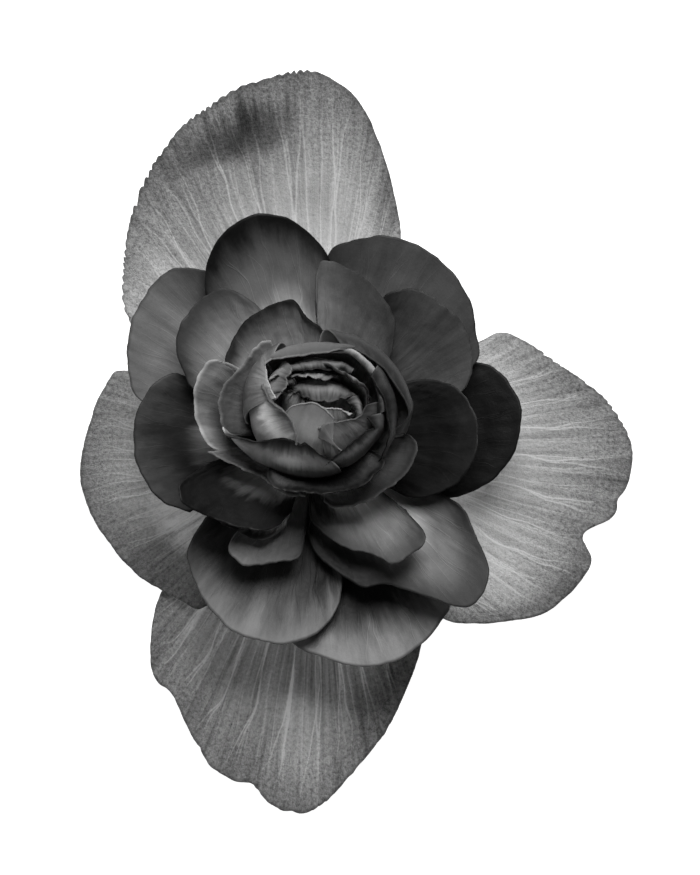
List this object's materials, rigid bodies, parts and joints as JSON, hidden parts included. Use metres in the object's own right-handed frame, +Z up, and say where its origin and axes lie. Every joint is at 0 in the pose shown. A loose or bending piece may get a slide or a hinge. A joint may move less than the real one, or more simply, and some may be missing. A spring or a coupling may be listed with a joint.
{
  "type": "begonia bloom",
  "caption": "Double tuberous begonia bloom, cut with a short stalk: a rosette of overlapping petals round a folded heart, over pale outer tepals, lying face up.",
  "frame": {"origin": "middle of the flat cut end of the stalk, on the surface that the bloom lies on", "axes": "+Z up out of the open face of the bloom, +Y along the longest reach, from the bottom tepal to the top one"},
  "size_m": [0.1104, 0.1481, 0.0482],
  "materials": {
    "tepal": "soft matt, faintly veined",
    "petal": "satin petal",
    "heart": "satin petal",
    "stalk": "matt, fleshy"
  },
  "bodies": {
    "root": {"stalk_and_receptacle": "stalk", "tepal_top": "tepal", "tepal_left": "tepal", "tepal_bottom": "tepal", "tepal_right": "tepal", "outer_petal_right": "petal", "outer_petal_upper_right": "petal", "outer_petal_upper_left": "petal", "outer_petal_bottom": "petal", "second_petal_top": "petal", "second_petal_right": "petal", "second_petal_lower_right": "petal", "second_petal_bottom": "petal", "second_petal_left": "petal", "third_petal_top": "petal", "third_petal_upper_left": "petal", "third_petal_right": "petal", "third_petal_lower_right": "petal", "third_petal_bottom": "petal", "third_petal_lower_left": "petal", "fourth_petal_upper_left": "petal", "fourth_petal_lower_left": "petal", "guard_petal_far_left": "petal", "guard_petal_lower_left": "petal", "guard_petal_lower_right": "petal", "guard_petal_left": "petal", "guard_petal_front": "petal", "heart_of_folded_petals": "heart"}
  },
  "joints": []
}
